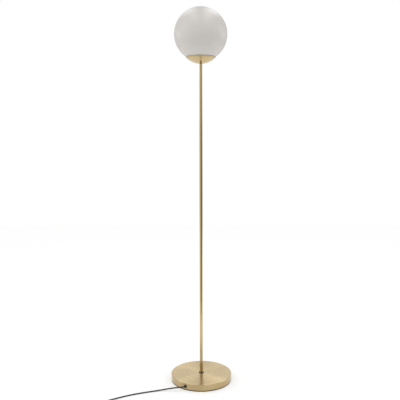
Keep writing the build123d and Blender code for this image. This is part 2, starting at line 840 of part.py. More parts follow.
with BuildPart() as pole_couplers:
    for joint in range(1, pole_section_count):
        with BuildSketch(Plane.XY.offset(collar_top + joint * section_length - coupler_length / 2)):
            Circle(nipple_diameter / 2)
            Circle(nipple_bore / 2, mode=Mode.SUBTRACT)
        extrude(amount=coupler_length)
pole_couplers.part.label = "pole_couplers"

# ---------------------------------------------------------------- base

with BuildPart(Plane.XY.offset(base_height)) as pole_collar:
    Cylinder(collar_diameter / 2, collar_height, align=(Align.CENTER, Align.CENTER, Align.MIN))
    chamfer(pole_collar.edges().group_by(Axis.Z)[-1], 0.25 * collar_height)
    Hole(loose_radius)
pole_collar.part.label = "pole_collar"

with BuildPart(Plane.XY.offset(cover_z)) as base_cover:
    Cylinder(base_diameter / 2, base_height - cover_z, align=(Align.CENTER, Align.CENTER, Align.MIN))
    fillet(base_cover.edges().group_by(Axis.Z)[-1], cover_edge_radius)
    offset(amount=-cover_wall, openings=base_cover.faces().sort_by(Axis.Z)[0])
    Hole(loose_radius)
    with BuildSketch(Plane(origin=cord_inner_end, z_dir=exit_way)):
        Circle(grommet_neck_radius + thread_clearance)
    extrude(amount=2 * cord_inner_length, mode=Mode.SUBTRACT)
base_cover.part.label = "base_cover"

channel_width = cord_diameter + 2.8
channel_top = cord_exit_height + cord_radius + running_clearance
plate_screw_hole_radius = plate_screw_radius + thread_clearance
clamp_screw_hole_radius = clamp_screw_radius + thread_clearance
plate_screw_start = cord_exit_angle + 60.0
clamp_screw_places = [(clamp_distance, clamp_screw_offset), (clamp_distance, -clamp_screw_offset)]
along_channel = Plane(origin=(0, 0, 0), x_dir=exit_way, z_dir=(0, 0, 1))

with BuildPart() as base_weight:
    with BuildSketch(Plane.XY.offset(weight_bottom)):
        Circle(weight_radius)
    extrude(amount=weight_thickness)
    fillet(base_weight.edges().group_by(Axis.Z)[-1], cover_edge_radius)
    with BuildSketch(Plane.XY.offset(plate_top)):
        with PolarLocations(plate_screw_circle_radius, plate_screw_count, plate_screw_start):
            Circle(weight_foot_radius)
    extrude(amount=weight_bottom - plate_top)
    with BuildSketch(Plane.XY.offset(weight_bottom)):
        Circle(weight_pocket_diameter / 2)
    extrude(amount=web_bottom - weight_bottom, mode=Mode.SUBTRACT)
    with BuildSketch(along_channel.offset(weight_bottom)):
        with Locations((weight_radius / 2, 0)):
            Rectangle(weight_radius + 2 * cover_wall, channel_width)
    extrude(amount=channel_top - weight_bottom, mode=Mode.SUBTRACT)
    with BuildSketch(Plane.XY.offset(weight_bottom)):
        Circle(loose_radius)
    extrude(amount=weight_thickness, mode=Mode.SUBTRACT)
    with BuildSketch(Plane.XY.offset(plate_top)):
        with PolarLocations(plate_screw_circle_radius, plate_screw_count, plate_screw_start):
            Circle(plate_screw_hole_radius)
    extrude(amount=plate_screw_length, mode=Mode.SUBTRACT)
    with BuildSketch(along_channel.offset(weight_bottom)):
        with Locations(*clamp_screw_places):
            Circle(clamp_screw_hole_radius)
    extrude(amount=clamp_screw_length, mode=Mode.SUBTRACT)
base_weight.part.label = "base_weight"

with BuildPart(Plane.XY.offset(base_nipple_z)) as base_nipple:
    base_nipple_length = collar_top + nipple_engagement - base_nipple_z
    Cylinder(nipple_diameter / 2, base_nipple_length, align=(Align.CENTER, Align.CENTER, Align.MIN))
    Hole(nipple_bore / 2)
    chamfer(base_nipple.edges().filter_by(GeomType.CIRCLE), nipple_chamfer)
base_nipple.part.label = "base_nipple"

with BuildPart() as base_washer:
    with BuildSketch(Plane.XY.offset(web_bottom - base_washer_thickness)):
        Circle(base_washer_diameter / 2)
        Circle(loose_radius, mode=Mode.SUBTRACT)
    extrude(amount=base_washer_thickness)
base_washer.part.label = "base_washer"

screw_head_radius = plate_screw_radius + plate_thickness
with BuildPart() as base_plate:
    with BuildSketch(Plane.XY.offset(pad_thickness)):
        Circle(cover_inner_radius - seat_clearance)
    extrude(amount=plate_thickness)
    with Locations(Plane.XY.offset(pad_thickness)):
        with PolarLocations(plate_screw_circle_radius, plate_screw_count, plate_screw_start):
            Cone(
                screw_head_radius + thread_clearance,
                plate_screw_hole_radius,
                plate_thickness,
                align=(Align.CENTER, Align.CENTER, Align.MIN),
                mode=Mode.SUBTRACT,
            )
base_plate.part.label = "base_plate"

with BuildPart() as base_plate_screws:
    with Locations(Plane.XY.offset(pad_thickness)):
        with PolarLocations(plate_screw_circle_radius, plate_screw_count, plate_screw_start):
            Cone(
                screw_head_radius,
                plate_screw_radius,
                plate_thickness,
                align=(Align.CENTER, Align.CENTER, Align.MIN),
            )
            Cylinder(
                plate_screw_radius, plate_screw_length, align=(Align.CENTER, Align.CENTER, Align.MIN)
            )
            Box(screw_slot_width, 1.4 * screw_head_radius, 0.8 * plate_thickness, mode=Mode.SUBTRACT)
base_plate_screws.part.label = "base_plate_screws"

with BuildPart() as base_pad:
    with BuildSketch():
        Circle(base_diameter / 2 - pad_inset)
    extrude(amount=pad_thickness)
base_pad.part.label = "base_pad"

# Grommet in the cover's side: two flanges, a neck in the wall and a tapered tail along the cable inside.
wall_outer = base_diameter / 2
grommet_inner_face = cover_inner_radius - seat_clearance


def exit_plane(distance):
    """The plane across the cord's way out of the base, at a distance from the pole's axis."""
    return Plane(origin=exit_way * distance + Vector(0, 0, cord_exit_height), z_dir=exit_way)


with BuildPart() as cord_grommet:
    with BuildSketch(exit_plane(wall_outer + thread_clearance)):
        Circle(grommet_flange_radius)
    extrude(amount=grommet_flange)
    outer_edge = cord_grommet.edges().group_by(Axis(origin=(0, 0, 0), direction=exit_way))[-1]
    fillet(outer_edge, grommet_flange / 2)
    with BuildSketch(exit_plane(grommet_inner_face)):
        Circle(grommet_neck_radius)
    extrude(amount=wall_outer + thread_clearance - grommet_inner_face)
    with BuildSketch(exit_plane(grommet_inner_face - grommet_inner_flange)):
        Circle(grommet_inner_flange_radius)
    extrude(amount=grommet_inner_flange)
    with BuildLine():
        FilletPolyline(*lamp_side_route[:4], radius=corner_radii(lamp_side_route[:4]))
    with BuildSketch(Plane(origin=cord_inner_end, z_dir=exit_way)):
        Circle(bore_radius)
    sweep(mode=Mode.SUBTRACT)
cord_grommet.part.label = "cord_grommet"

with BuildPart() as cord_clamp:
    with BuildSketch(along_channel.offset(weight_bottom - clamp_thickness)):
        with Locations((clamp_distance, 0)):
            RectangleRounded(clamp_width, clamp_length, 2.0)
    extrude(amount=clamp_thickness)
    with BuildSketch(along_channel.offset(weight_bottom)):
        with Locations((clamp_distance, 0)):
            Rectangle(clamp_width, channel_width - 4 * running_clearance)
    extrude(amount=cord_exit_height - cord_radius - piece_gap - weight_bottom)
    with BuildSketch(along_channel.offset(weight_bottom - clamp_thickness)):
        with Locations(*clamp_screw_places):
            Circle(clamp_screw_hole_radius)
    extrude(amount=clamp_thickness, mode=Mode.SUBTRACT)
cord_clamp.part.label = "cord_clamp"

clamp_screw = screw(clamp_screw_head_radius, clamp_screw_head, clamp_screw_radius, clamp_screw_length)
with BuildPart() as cord_clamp_screws:
    with Locations(along_channel.offset(weight_bottom - clamp_thickness - clamp_screw_head)):
        with Locations(*clamp_screw_places):
            add(clamp_screw)
cord_clamp_screws.part.label = "cord_clamp_screws"

# ---------------------------------------------------------------- cable and wires inside the lamp

inner_radii = [cable_bend_radius, cable_rise_radius, cable_rise_radius]
inner_cable = tube_along("inner_cable", inner_route, inner_radii, cord_radius)
inner_cable.part.label = "inner_cable"


def core_wire(name, route, radius):
    """One insulated core, from a cable's end to its terminal."""
    return tube_along(name, route, [radius] * (len(route) - 2), core_diameter / 2)


core_offset = core_diameter / 2 + piece_gap
core_split_rise = 2.5
core_spread_rise = 6.5
core_bend_radius = core_diameter
wire_top_z = terminal_screw_z - piece_gap
brown_wire = core_wire(
    "brown_wire",
    [
        Vector(core_offset, 0, cable_top_z),
        Vector(core_offset, 0, cable_top_z + core_split_rise),
        Vector(terminal_x, 0, cable_top_z + core_spread_rise),
        Vector(terminal_x, 0, wire_top_z),
    ],
    core_bend_radius,
)
brown_wire.part.label = "brown_wire"
blue_wire = core_wire(
    "blue_wire",
    [
        Vector(-core_offset, 0, cable_top_z),
        Vector(-core_offset, 0, cable_top_z + core_split_rise),
        Vector(-terminal_x, 0, cable_top_z + core_spread_rise),
        Vector(-terminal_x, 0, wire_top_z),
    ],
    core_bend_radius,
)
blue_wire.part.label = "blue_wire"

# ---------------------------------------------------------------- the cord outside the lamp

cord_lamp_side = tube_along(
    "cord_lamp_side", lamp_side_route, corner_radii(lamp_side_route), cord_radius
)
cord_lamp_side.part.label = "cord_lamp_side"
cord_plug_side = tube_along(
    "cord_plug_side", plug_side_route, corner_radii(plug_side_route), cord_radius
)
cord_plug_side.part.label = "cord_plug_side"
cord_plug_end = tube_along(
    "cord_plug_end", plug_end_route, corner_radii(plug_end_route), cord_radius
)
cord_plug_end.part.label = "cord_plug_end"


def coil_place(turn):
    """The coil's centreline: it spirals in on the floor, climbs a layer in its innermost half turn, and
    spirals out on top. turn is an angle that is 0 half way along, and the radius grows with its size."""
    away = abs(turn)
    if away < pi / 2:
        away = turn**2 / pi + pi / 4
        climb = (1 + sin(turn)) / 2
    else:
        climb = float(turn > 0)
    radius = coil_inner_radius + coil_pitch * away / (2 * pi)
    angle = -pi / 2 - turn
    height = cord_floor_height + coil_pitch * climb
    return coil_centre + Vector(radius * cos(angle), radius * sin(angle), height)


coil_half_angle = coil_turns * pi + coil_tilt
cord_coil, coil_length = wound_tube(
    coil_place, -coil_half_angle, coil_half_angle, 4 * coil_turns, cord_radius, cord_diameter
)
cord_coil.part.label = "cord_coil"
print(
    f"cord_coil: {coil_length:.1f} long, least gap"
    f" {least_gap(coil_place, -coil_half_angle, coil_half_angle, cord_radius):.2f},"
    f" volume over section times length {cord_coil.part.volume / (pi * cord_radius**2 * coil_length):.4f}"
)

# ---------------------------------------------------------------- foot switch

switch_plane = Plane(origin=(switch_centre_x, switch_line_y, 0))
switch_corner = switch_width / 2 - 0.1
switch_end = switch_length / 2
post_places = [(switch_post_x, switch_post_y), (-switch_post_x, -switch_post_y)]
post_bore_radius = switch_screw_radius + thread_clearance
spring_seat_z = switch_wall + 1.2

with BuildPart(switch_plane) as switch_lower_housing:
    with BuildSketch(switch_plane):
        RectangleRounded(switch_length, switch_width, switch_corner)
    extrude(amount=switch_split_height)
    fillet(switch_lower_housing.faces().sort_by(Axis.Z)[0].edges(), 1.0)
    with BuildSketch(switch_plane.offset(switch_wall)):
        RectangleRounded(
            switch_length - 2 * switch_wall, switch_width - 2 * switch_wall, switch_corner - switch_wall
        )
    extrude(amount=switch_split_height, mode=Mode.SUBTRACT)
    with BuildSketch(switch_plane.offset(switch_wall)):
        with Locations(*post_places):
            Circle(switch_post_radius)
        Circle(spring_diameter / 2 + 1.5)
    extrude(amount=spring_seat_z - switch_wall)
    with BuildSketch(switch_plane.offset(spring_seat_z)):
        with Locations(*post_places):
            Circle(switch_post_radius)
    extrude(amount=switch_split_height - spring_seat_z)
    with BuildSketch(switch_plane.offset(spring_seat_z)):
        Circle(spring_diameter / 2 - spring_wire - 0.4)
    extrude(amount=3.0)
    with BuildSketch(switch_plane):
        with Locations(*post_places):
            Circle(post_bore_radius)
    extrude(amount=switch_split_height, mode=Mode.SUBTRACT)
    with BuildSketch(switch_plane):
        with Locations(*post_places):
            Circle(switch_screw_head_radius + piece_gap)
    extrude(amount=switch_screw_head + 2 * screw_recess, mode=Mode.SUBTRACT)
    with BuildSketch(Plane.YZ.offset(switch_centre_x - switch_length)):
        with Locations((switch_line_y, switch_split_height)):
            Circle(sleeve_neck_radius + thread_clearance)
    extrude(amount=2 * switch_length, mode=Mode.SUBTRACT)
switch_lower_housing.part.label = "switch_lower_housing"

upper_base = switch_split_height + piece_gap
button_flange_radius = button_diameter / 2 + button_rim
roof_underside = switch_height - switch_wall
with BuildPart(switch_plane.offset(upper_base)) as switch_upper_housing:
    with BuildSketch(switch_plane.offset(upper_base)):
        RectangleRounded(switch_length, switch_width, switch_corner)
    extrude(amount=switch_height - upper_base)
    fillet(switch_upper_housing.faces().sort_by(Axis.Z)[-1].edges(), 3.0)
    with BuildSketch(switch_plane.offset(upper_base)):
        RectangleRounded(
            switch_length - 2 * switch_wall, switch_width - 2 * switch_wall, switch_corner - switch_wall
        )
    extrude(amount=roof_underside - upper_base - switch_roof_ledge, mode=Mode.SUBTRACT)
    with BuildSketch(switch_plane.offset(roof_underside - switch_roof_ledge)):
        Circle(button_flange_radius + seat_clearance)
    extrude(amount=switch_roof_ledge, mode=Mode.SUBTRACT)
    with BuildSketch(switch_plane.offset(roof_underside)):
        Circle(button_diameter / 2 + seat_clearance)
    extrude(amount=2 * switch_wall, mode=Mode.SUBTRACT)
    with BuildSketch(switch_plane.offset(upper_base)):
        with Locations(*post_places):
            Circle(switch_post_radius)
    extrude(amount=roof_underside - upper_base)
    with BuildSketch(switch_plane.offset(upper_base)):
        with Locations(*post_places):
            Circle(post_bore_radius)
    extrude(amount=5.0, mode=Mode.SUBTRACT)
    with BuildSketch(Plane.YZ.offset(switch_centre_x - switch_length)):
        with Locations((switch_line_y, switch_split_height)):
            Circle(sleeve_neck_radius + thread_clearance)
    extrude(amount=2 * switch_length, mode=Mode.SUBTRACT)
switch_upper_housing.part.label = "switch_upper_housing"

housing_screw = screw(switch_screw_head_radius, switch_screw_head, switch_screw_radius, switch_screw_length)
with BuildPart() as switch_housing_screws:
    with Locations(switch_plane.offset(screw_recess)):
        with Locations(*post_places):
            add(housing_screw)
switch_housing_screws.part.label = "switch_housing_screws"

flange_top = roof_underside - seat_clearance
flange_bottom = flange_top - button_flange_height
button_top = switch_height + button_proud
with BuildPart(switch_plane.offset(flange_bottom)) as switch_button:
    with BuildSketch(switch_plane.offset(flange_bottom)):
        Circle(button_flange_radius)
    extrude(amount=button_flange_height)
    with BuildSketch(switch_plane.offset(flange_top)):
        Circle(button_diameter / 2)
    extrude(amount=button_top - flange_top)
    fillet(switch_button.edges().group_by(Axis.Z)[-1], button_edge_radius)
    with BuildSketch(switch_plane.offset(flange_bottom)):
        Circle(spring_diameter / 2 + 2 * seat_clearance)
    extrude(amount=button_pocket, mode=Mode.SUBTRACT)
switch_button.part.label = "switch_button"

bridge_thickness = 0.6
bridge_width = spring_diameter + 5.0
with BuildPart() as switch_contact_bridge:
    with BuildSketch(switch_plane.offset(flange_bottom - bridge_thickness)):
        Circle(button_flange_radius - 0.5)
        Circle(spring_diameter / 2 + 1.0, mode=Mode.SUBTRACT)
        Rectangle(2 * button_flange_radius, bridge_width, mode=Mode.INTERSECT)
    extrude(amount=bridge_thickness)
switch_contact_bridge.part.label = "switch_contact_bridge"

# The spring stands on the housing's floor and pushes up under the button.
spring_bottom = spring_seat_z + spring_wire / 2 + piece_gap
spring_top = flange_bottom + button_pocket - spring_wire / 2 - piece_gap
spring_radius = (spring_diameter - spring_wire) / 2


def spring_place(turn):
    """A helix round the button's axis."""
    share = turn / (2 * pi * spring_turns)
    height = spring_bottom + (spring_top - spring_bottom) * share
    return Vector(
        switch_centre_x + spring_radius * cos(turn), switch_line_y + spring_radius * sin(turn), height
    )


switch_spring, spring_length = wound_tube(
    spring_place, 0, 2 * pi * spring_turns, 4 * spring_turns, spring_wire / 2, 0
)
switch_spring.part.label = "switch_spring"
print(
    f"switch_spring: {spring_length:.1f} long, least gap"
    f" {least_gap(spring_place, 0, 2 * pi * spring_turns, spring_wire / 2):.2f}"
)

# Two brass strips stand on the housing's floor, each with a foot for its terminal screw.
contact_top = flange_bottom - bridge_thickness - button_travel - seat_clearance
strip_thickness = 0.8
strip_width = 5.0
strip_x = 8.5
foot_length = 9.0
foot_z = switch_wall
with BuildPart() as switch_fixed_contacts:
    for side in (1, -1):
        with BuildSketch(Plane.XZ.offset(-switch_line_y - strip_width / 2)):
            with BuildLine():
                Polyline(
                    (switch_centre_x + side * strip_x, foot_z),
                    (switch_centre_x + side * (strip_x + foot_length), foot_z),
                    (switch_centre_x + side * (strip_x + foot_length), foot_z + strip_thickness),
                    (switch_centre_x + side * (strip_x + strip_thickness), foot_z + strip_thickness),
                    (switch_centre_x + side * (strip_x + strip_thickness), contact_top),
                    (switch_centre_x + side * strip_x, contact_top),
                    close=True,
                )
            make_face()
        extrude(amount=strip_width)
switch_fixed_contacts.part.label = "switch_fixed_contacts"

terminal_screw_x = strip_x + 0.62 * foot_length
terminal_head_height = 1.8
terminal_top_z = foot_z + strip_thickness + terminal_head_height
with BuildPart() as switch_terminal_screws:
    with Locations(switch_plane.offset(foot_z + strip_thickness)):
        with Locations((terminal_screw_x, 0), (-terminal_screw_x, 0)):
            Cylinder(
                terminal_head_radius, terminal_head_height, align=(Align.CENTER, Align.CENTER, Align.MIN)
            )
    with Locations(switch_plane.offset(terminal_top_z)):
        with Locations((terminal_screw_x, 0), (-terminal_screw_x, 0)):
            Box(2 * terminal_head_radius, screw_slot_width, 1.0, mode=Mode.SUBTRACT)
switch_terminal_screws.part.label = "switch_terminal_screws"

# Cores inside the switch: the live one ends at the two terminals, the neutral one runs straight past.
core_straight_end = switch_cord_end - 4.0
live_height = terminal_top_z + core_diameter / 2 + piece_gap
live_y = switch_line_y - core_offset
with BuildPart() as switch_live_wires:
    for side in (1, -1):
        route = [
            Vector(switch_centre_x + side * switch_cord_end, live_y, switch_split_height),
            Vector(switch_centre_x + side * core_straight_end, live_y, switch_split_height),
            Vector(switch_centre_x + side * 22.0, live_y, live_height),
            Vector(switch_centre_x + side * 12.5, live_y, live_height),
        ]
        with BuildLine():
            FilletPolyline(*route, radius=1.5 * core_diameter)
        with BuildSketch(Plane(origin=route[0], z_dir=route[1] - route[0])):
            Circle(core_diameter / 2)
        sweep()
switch_live_wires.part.label = "switch_live_wires"

neutral_y = switch_line_y + core_offset
neutral_side_y = switch_line_y + 9.0
neutral_low_z = switch_split_height - 2.0
switch_neutral_wire = core_wire(
    "switch_neutral_wire",
    [
        Vector(switch_centre_x - switch_cord_end, neutral_y, switch_split_height),
        Vector(switch_centre_x - core_straight_end, neutral_y, switch_split_height),
        Vector(switch_centre_x - 18.0, neutral_side_y, neutral_low_z),
        Vector(switch_centre_x + 16.0, neutral_side_y, neutral_low_z),
        Vector(switch_centre_x + core_straight_end, neutral_y, switch_split_height),
        Vector(switch_centre_x + switch_cord_end, neutral_y, switch_split_height),
    ],
    1.5 * core_diameter,
)
switch_neutral_wire.part.label = "switch_neutral_wire"

# A tapered rubber sleeve at each end, held by a flange inside the housing.
sleeve_inner_flange = 1.3
sleeve_profile = [
    (switch_end - 4.2, bore_radius),
    (switch_end - 4.2, sleeve_flange_radius),
    (switch_end - 4.2 + sleeve_inner_flange, sleeve_flange_radius),
    (switch_end - 4.2 + sleeve_inner_flange, sleeve_neck_radius),
    (switch_end + piece_gap, sleeve_neck_radius),
    (switch_end + piece_gap, sleeve_flange_radius),
    (switch_end + sleeve_length, bore_radius + sleeve_end_wall),
    (switch_end + sleeve_length, bore_radius),
]
with BuildPart() as switch_cord_sleeves:
    for side in (1, -1):
        with BuildSketch(Plane.XZ.offset(-switch_line_y)):
            with BuildLine():
                Polyline(
                    *[(switch_centre_x + side * x, switch_split_height + r) for x, r in sleeve_profile],
                    close=True,
                )
            make_face()
        revolve(axis=Axis(origin=(0, switch_line_y, switch_split_height), direction=(1, 0, 0)))
switch_cord_sleeves.part.label = "switch_cord_sleeves"

# ---------------------------------------------------------------- plug

plug_plane = Plane(origin=(plug_start_x + plug_sleeve_length, plug_line_y, 0))
plug_front_x = plug_start_x + plug_sleeve_length + plug_length
plug_axis_z = plug_thickness / 2
pin_core_radius = pin_core_diameter / 2
plug_taper_end = 0.55 * plug_length


def pin_plane(distance):
    """The plane across the pins at a distance in front of the plug's face."""
    place = (plug_front_x + distance, plug_line_y, plug_axis_z)
    return Plane(origin=place, x_dir=(0, 1, 0), z_dir=(1, 0, 0))


pin_places = [(pin_spacing / 2, 0), (-pin_spacing / 2, 0)]

with BuildPart() as plug_body:
    with BuildSketch(plug_plane):
        with BuildLine():
            Polyline(
                (0, plug_rear_width / 2),
                (plug_taper_end, plug_width / 2),
                (plug_length, plug_width / 2),
                (plug_length, -plug_width / 2),
                (plug_taper_end, -plug_width / 2),
                (0, -plug_rear_width / 2),
                close=True,
            )
        make_face()
    extrude(amount=plug_thickness)
    fillet(plug_body.edges().filter_by(Axis.Z), plug_corner_radius)
    flat_faces = plug_body.faces().sort_by(Axis.Z)
    chamfer(flat_faces[-1].edges() + flat_faces[0].edges(), plug_edge_chamfer)
    with BuildSketch(pin_plane(-pin_root)):
        with Locations(*pin_places):
            Circle(pin_core_radius + thread_clearance)
    extrude(amount=pin_root, mode=Mode.SUBTRACT)
    with BuildSketch(pin_plane(-plug_length)):
        Circle(bore_radius)
    extrude(amount=plug_cord_bore, mode=Mode.SUBTRACT)
plug_body.part.label = "plug_body"

with BuildPart() as plug_pins:
    with BuildSketch(pin_plane(-pin_root)):
        with Locations(*pin_places):
            Circle(pin_core_radius)
    extrude(amount=pin_root + pin_sleeve_length)
    with BuildSketch(pin_plane(pin_sleeve_length)):
        with Locations(*pin_places):
            Circle(pin_diameter / 2)
    extrude(amount=pin_length - pin_sleeve_length)
    fillet(plug_pins.edges().group_by(Axis.X)[-1], pin_tip_radius)
plug_pins.part.label = "plug_pins"

with BuildPart() as plug_pin_sleeves:
    with BuildSketch(pin_plane(0)):
        with Locations(*pin_places):
            Circle(pin_sleeve_diameter / 2)
            Circle(pin_core_radius + thread_clearance, mode=Mode.SUBTRACT)
    extrude(amount=pin_sleeve_length)
plug_pin_sleeves.part.label = "plug_pin_sleeves"

with BuildPart() as plug_strain_relief:
    with BuildSketch(Plane.XZ.offset(-plug_line_y)):
        with BuildLine():
            Polyline(
                (plug_start_x, plug_axis_z + bore_radius),
                (plug_start_x, plug_axis_z + bore_radius + sleeve_end_wall),
                (plug_start_x + plug_sleeve_length, plug_axis_z + plug_sleeve_radius),
                (plug_start_x + plug_sleeve_length, plug_axis_z + bore_radius),
                close=True,
            )
        make_face()
    revolve(axis=Axis(origin=(0, plug_line_y, plug_axis_z), direction=(1, 0, 0)))
plug_strain_relief.part.label = "plug_strain_relief"

# ---------------------------------------------------------------- write one file for each piece

pieces = [
    glass_globe,
    globe_gasket,
    globe_cup,
    globe_spring_clip,
    cup_nipple,
    nipple_nuts,
    nipple_lock_washers,
    lampholder_cap,
    lampholder_grub_screw,
    lampholder_body,
    lampholder_insert,
    lampholder_terminal_screws,
    lampholder_screw_shell,
    lampholder_centre_contact,
    bulb_dome,
    bulb_collar,
    bulb_led_board,
    bulb_screw_cap,
    bulb_insulator,
    bulb_tip_contact,
    pole_top_section,
    pole_middle_section,
    pole_bottom_section,
    pole_couplers,
    pole_collar,
    base_cover,
    base_weight,
    base_nipple,
    base_washer,
    base_plate,
    base_plate_screws,
    base_pad,
    cord_grommet,
    cord_clamp,
    cord_clamp_screws,
    inner_cable,
    brown_wire,
    blue_wire,
    cord_lamp_side,
    cord_plug_side,
    cord_coil,
    cord_plug_end,
    switch_lower_housing,
    switch_upper_housing,
    switch_housing_screws,
    switch_button,
    switch_contact_bridge,
    switch_spring,
    switch_fixed_contacts,
    switch_terminal_screws,
    switch_live_wires,
    switch_neutral_wire,
    switch_cord_sleeves,
    plug_body,
    plug_pins,
    plug_pin_sleeves,
    plug_strain_relief,
]
os.makedirs("parts", exist_ok=True)
for piece in pieces:
    export_step(piece.part, f"parts/{piece.part.label}.step")
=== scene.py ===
import json
import math

import bpy
import numpy as np
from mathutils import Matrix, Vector


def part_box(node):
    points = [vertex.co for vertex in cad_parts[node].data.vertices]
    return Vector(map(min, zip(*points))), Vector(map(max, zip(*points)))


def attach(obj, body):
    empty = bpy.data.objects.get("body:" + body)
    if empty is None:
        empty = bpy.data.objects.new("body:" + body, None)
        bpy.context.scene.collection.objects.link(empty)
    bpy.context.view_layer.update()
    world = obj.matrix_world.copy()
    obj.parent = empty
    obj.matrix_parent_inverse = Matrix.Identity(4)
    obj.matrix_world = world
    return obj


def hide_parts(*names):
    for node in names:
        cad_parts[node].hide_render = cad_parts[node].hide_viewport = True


# The looks of a globe floor lamp: an opal ball in a brass cup, on a slim brass pole and a spun brass base,
# with a black cord. Metres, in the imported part's frame: +Z up, -Y towards the camera.

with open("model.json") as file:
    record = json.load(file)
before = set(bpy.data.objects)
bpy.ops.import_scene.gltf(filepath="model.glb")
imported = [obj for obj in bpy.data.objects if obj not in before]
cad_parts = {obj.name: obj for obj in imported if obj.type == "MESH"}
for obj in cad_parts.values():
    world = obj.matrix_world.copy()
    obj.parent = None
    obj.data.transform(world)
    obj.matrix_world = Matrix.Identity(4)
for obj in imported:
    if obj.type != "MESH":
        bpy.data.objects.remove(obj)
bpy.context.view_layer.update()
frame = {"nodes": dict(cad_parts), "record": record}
nodes = frame["nodes"]
scene = bpy.context.scene
scene.view_settings.view_transform = "Standard"

# ---------------------------------------------------------------- camera

# Fitted to the outlines of the ball, cup, pole and base in the photograph. Metres, degrees, a shift in
# picture widths, and millimetres for the sensor and the lens.
CAMERA_DISTANCE = 2.181
CAMERA_HEIGHT = 0.957
CAMERA_DOWN = 6.22
CAMERA_ROLL = 0.11
CAMERA_SHIFT = -0.00225
SENSOR_WIDTH = 36.0
LENS = 51.08

camera = bpy.data.objects.new("camera", bpy.data.cameras.new("camera"))
scene.collection.objects.link(camera)
scene.camera = camera
camera.location = (0.0, -CAMERA_DISTANCE, CAMERA_HEIGHT)
camera.rotation_euler = (math.radians(90 - CAMERA_DOWN), math.radians(CAMERA_ROLL), 0.0)
camera.data.sensor_width = SENSOR_WIDTH
camera.data.lens = LENS
camera.data.shift_x = CAMERA_SHIFT
camera.data.clip_start = 0.05
camera.data.clip_end = 50.0

# ---------------------------------------------------------------- cords

# Sizes and places that the cord shares with the pieces it joins.
CORD_DIAMETER = 0.0052
CORD_FLOOR = 0.00265
EXIT_ANGLE = math.radians(239.2)
EXIT_HEIGHT = 0.014
LENGTH_IN_BASE = 0.016
SWITCH_X = -0.234
SWITCH_CORD_END = 0.034
SWITCH_CORD_HEIGHT = 0.009
LINE_Y = -0.2606
PLUG_Y = -0.264
PLUG_HEIGHT = 0.00685
PLUG_START_X = -0.038
LENGTH_IN_PLUG = 0.020
COIL_X = -0.089
COIL_TURNS = 7
COIL_INNER_RADIUS = 0.021
COIL_PITCH = 0.0058
COIL_POINTS_PER_TURN = 16
COIL_LEAD = 0.0062

base_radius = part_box("base_cover")[1][0]
coil_outer_radius = COIL_INNER_RADIUS + COIL_PITCH * COIL_TURNS / 2
coil_y = LINE_Y - coil_outer_radius
coil_top = CORD_FLOOR + COIL_PITCH


def way_out(distance):
    """The point at a distance from the pole's axis on the line along which the cord leaves the base."""
    return (distance * math.cos(EXIT_ANGLE), distance * math.sin(EXIT_ANGLE), EXIT_HEIGHT)


lamp_side_route = [
    way_out(base_radius - LENGTH_IN_BASE),
    way_out(base_radius),
    (-0.0742, -0.1086, 0.0139),
    (-0.0930, -0.1099, 0.0127),
    (-0.1180, -0.1084, 0.0092),
    (-0.1420, -0.1093, 0.0052),
    (-0.1670, -0.1137, 0.0029),
    (-0.1950, -0.1226, CORD_FLOOR),
    (-0.2260, -0.1334, CORD_FLOOR),
    (-0.2570, -0.1462, CORD_FLOOR),
    (-0.2870, -0.1612, CORD_FLOOR),
    (-0.3190, -0.1807, CORD_FLOOR),
    (-0.3505, -0.2007, CORD_FLOOR),
    (-0.3604, -0.2225, 0.0036),
    (-0.3548, -0.2457, 0.0056),
    (-0.3360, LINE_Y, 0.0079),
    (-0.3120, LINE_Y, SWITCH_CORD_HEIGHT),
    (SWITCH_X - SWITCH_CORD_END, LINE_Y, SWITCH_CORD_HEIGHT),
]


def coil_points():
    """Control points of the coil: a spiral that winds in on the floor and out again on top of itself.

    With u the angle from its middle, the radius is the inner one plus pitch * |u| / 2 pi. In the middle half
    turn, where |u| is under pi / 2, |u| gives way to u^2 / pi + pi / 4 and the height rises by a pitch as
    (1 + sin u) / 2. The cosine of half a step makes up for the curve's cutting of its points' corners."""
    step = 2 * math.pi / COIL_POINTS_PER_TURN
    u = (np.arange(COIL_TURNS * COIL_POINTS_PER_TURN) + 0.5) * step - COIL_TURNS * math.pi
    middle = np.abs(u) < math.pi / 2
    away = np.where(middle, u**2 / math.pi + math.pi / 4, np.abs(u))
    climb = np.where(middle, (1 + np.sin(u)) / 2, u > 0)
    radius = (COIL_INNER_RADIUS + COIL_PITCH * away / (2 * math.pi)) / math.cos(step / 2)
    angle = -math.pi / 2 - u
    x = COIL_X + radius * np.cos(angle)
    y = coil_y + radius * np.sin(angle)
    return np.stack([x, y, CORD_FLOOR + COIL_PITCH * climb], axis=1).tolist()


plug_side_route = [
    (SWITCH_X + SWITCH_CORD_END, LINE_Y, SWITCH_CORD_HEIGHT),
    (-0.1570, LINE_Y, SWITCH_CORD_HEIGHT),
    (-0.1400, LINE_Y, 0.0076),
    (-0.1240, LINE_Y, 0.0042),
    (-0.1080, LINE_Y, CORD_FLOOR),
    (COIL_X - COIL_LEAD, LINE_Y, CORD_FLOOR),
    *coil_points(),
    (COIL_X + COIL_LEAD, LINE_Y, coil_top),
    (-0.0660, LINE_Y, coil_top),
    (-0.0500, PLUG_Y, PLUG_HEIGHT),
    (PLUG_START_X + LENGTH_IN_PLUG, PLUG_Y, PLUG_HEIGHT),
]


